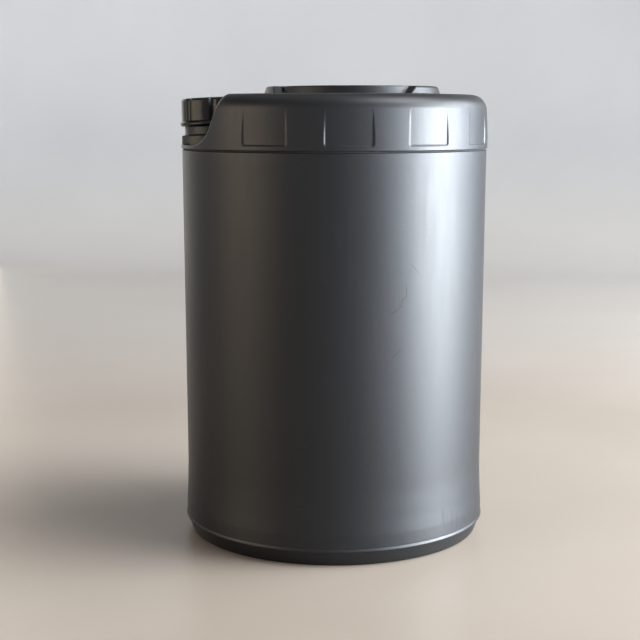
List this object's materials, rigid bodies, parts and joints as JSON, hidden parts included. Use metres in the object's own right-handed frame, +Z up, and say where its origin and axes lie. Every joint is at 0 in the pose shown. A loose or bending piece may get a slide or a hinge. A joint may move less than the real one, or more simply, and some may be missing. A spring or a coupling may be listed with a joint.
{
  "type": "rain barrel",
  "caption": "Tall round closed barrel: flared foot, plug-in cover with recessed grip panels and an offset stacking boss, and a screw-capped filler neck in a side recess.",
  "frame": {"origin": "centre of the foot ring, on the ground", "axes": "+Z up along the barrel's axis; the filler neck is on -X"},
  "size_m": [0.2908, 0.2854, 0.4176],
  "materials": {
    "body_plastic": "satin",
    "cover_plastic": "satin",
    "gasket_rubber": "matte",
    "ring_plastic": "gloss",
    "cap_plastic": "gloss",
    "liner_foam": "matte"
  },
  "bodies": {
    "barrel": {"barrel_body": "body_plastic"},
    "cover": {"top_cover": "cover_plastic", "cover_gasket": "gasket_rubber", "tamper_ring": "ring_plastic"},
    "cap_seal": {"cap_liner": "liner_foam"},
    "cap": {"screw_cap": "cap_plastic"}
  },
  "joints": [
    {"name": "cover_lift", "type": "slide", "parent": "barrel", "child": "cover", "axis": [0, 0, 1], "range_m": [0, 0.25]},
    {"name": "cap_rise", "type": "slide", "parent": "cover", "child": "cap_seal", "axis": [-0.0401, 0, 0.9992], "range_m": [0, 0.018]},
    {"name": "cap_turn", "type": "hinge", "parent": "cap_seal", "child": "cap", "pos_m": [-0.1122, 0, 0.3822], "axis": [-0.0401, 0, 0.9992], "range_deg": [0, 1080]}
  ],
  "couplings": [
    {"joint": "cap_rise", "follows": "cap_turn", "m_per_rad": 0.00095493}
  ]
}
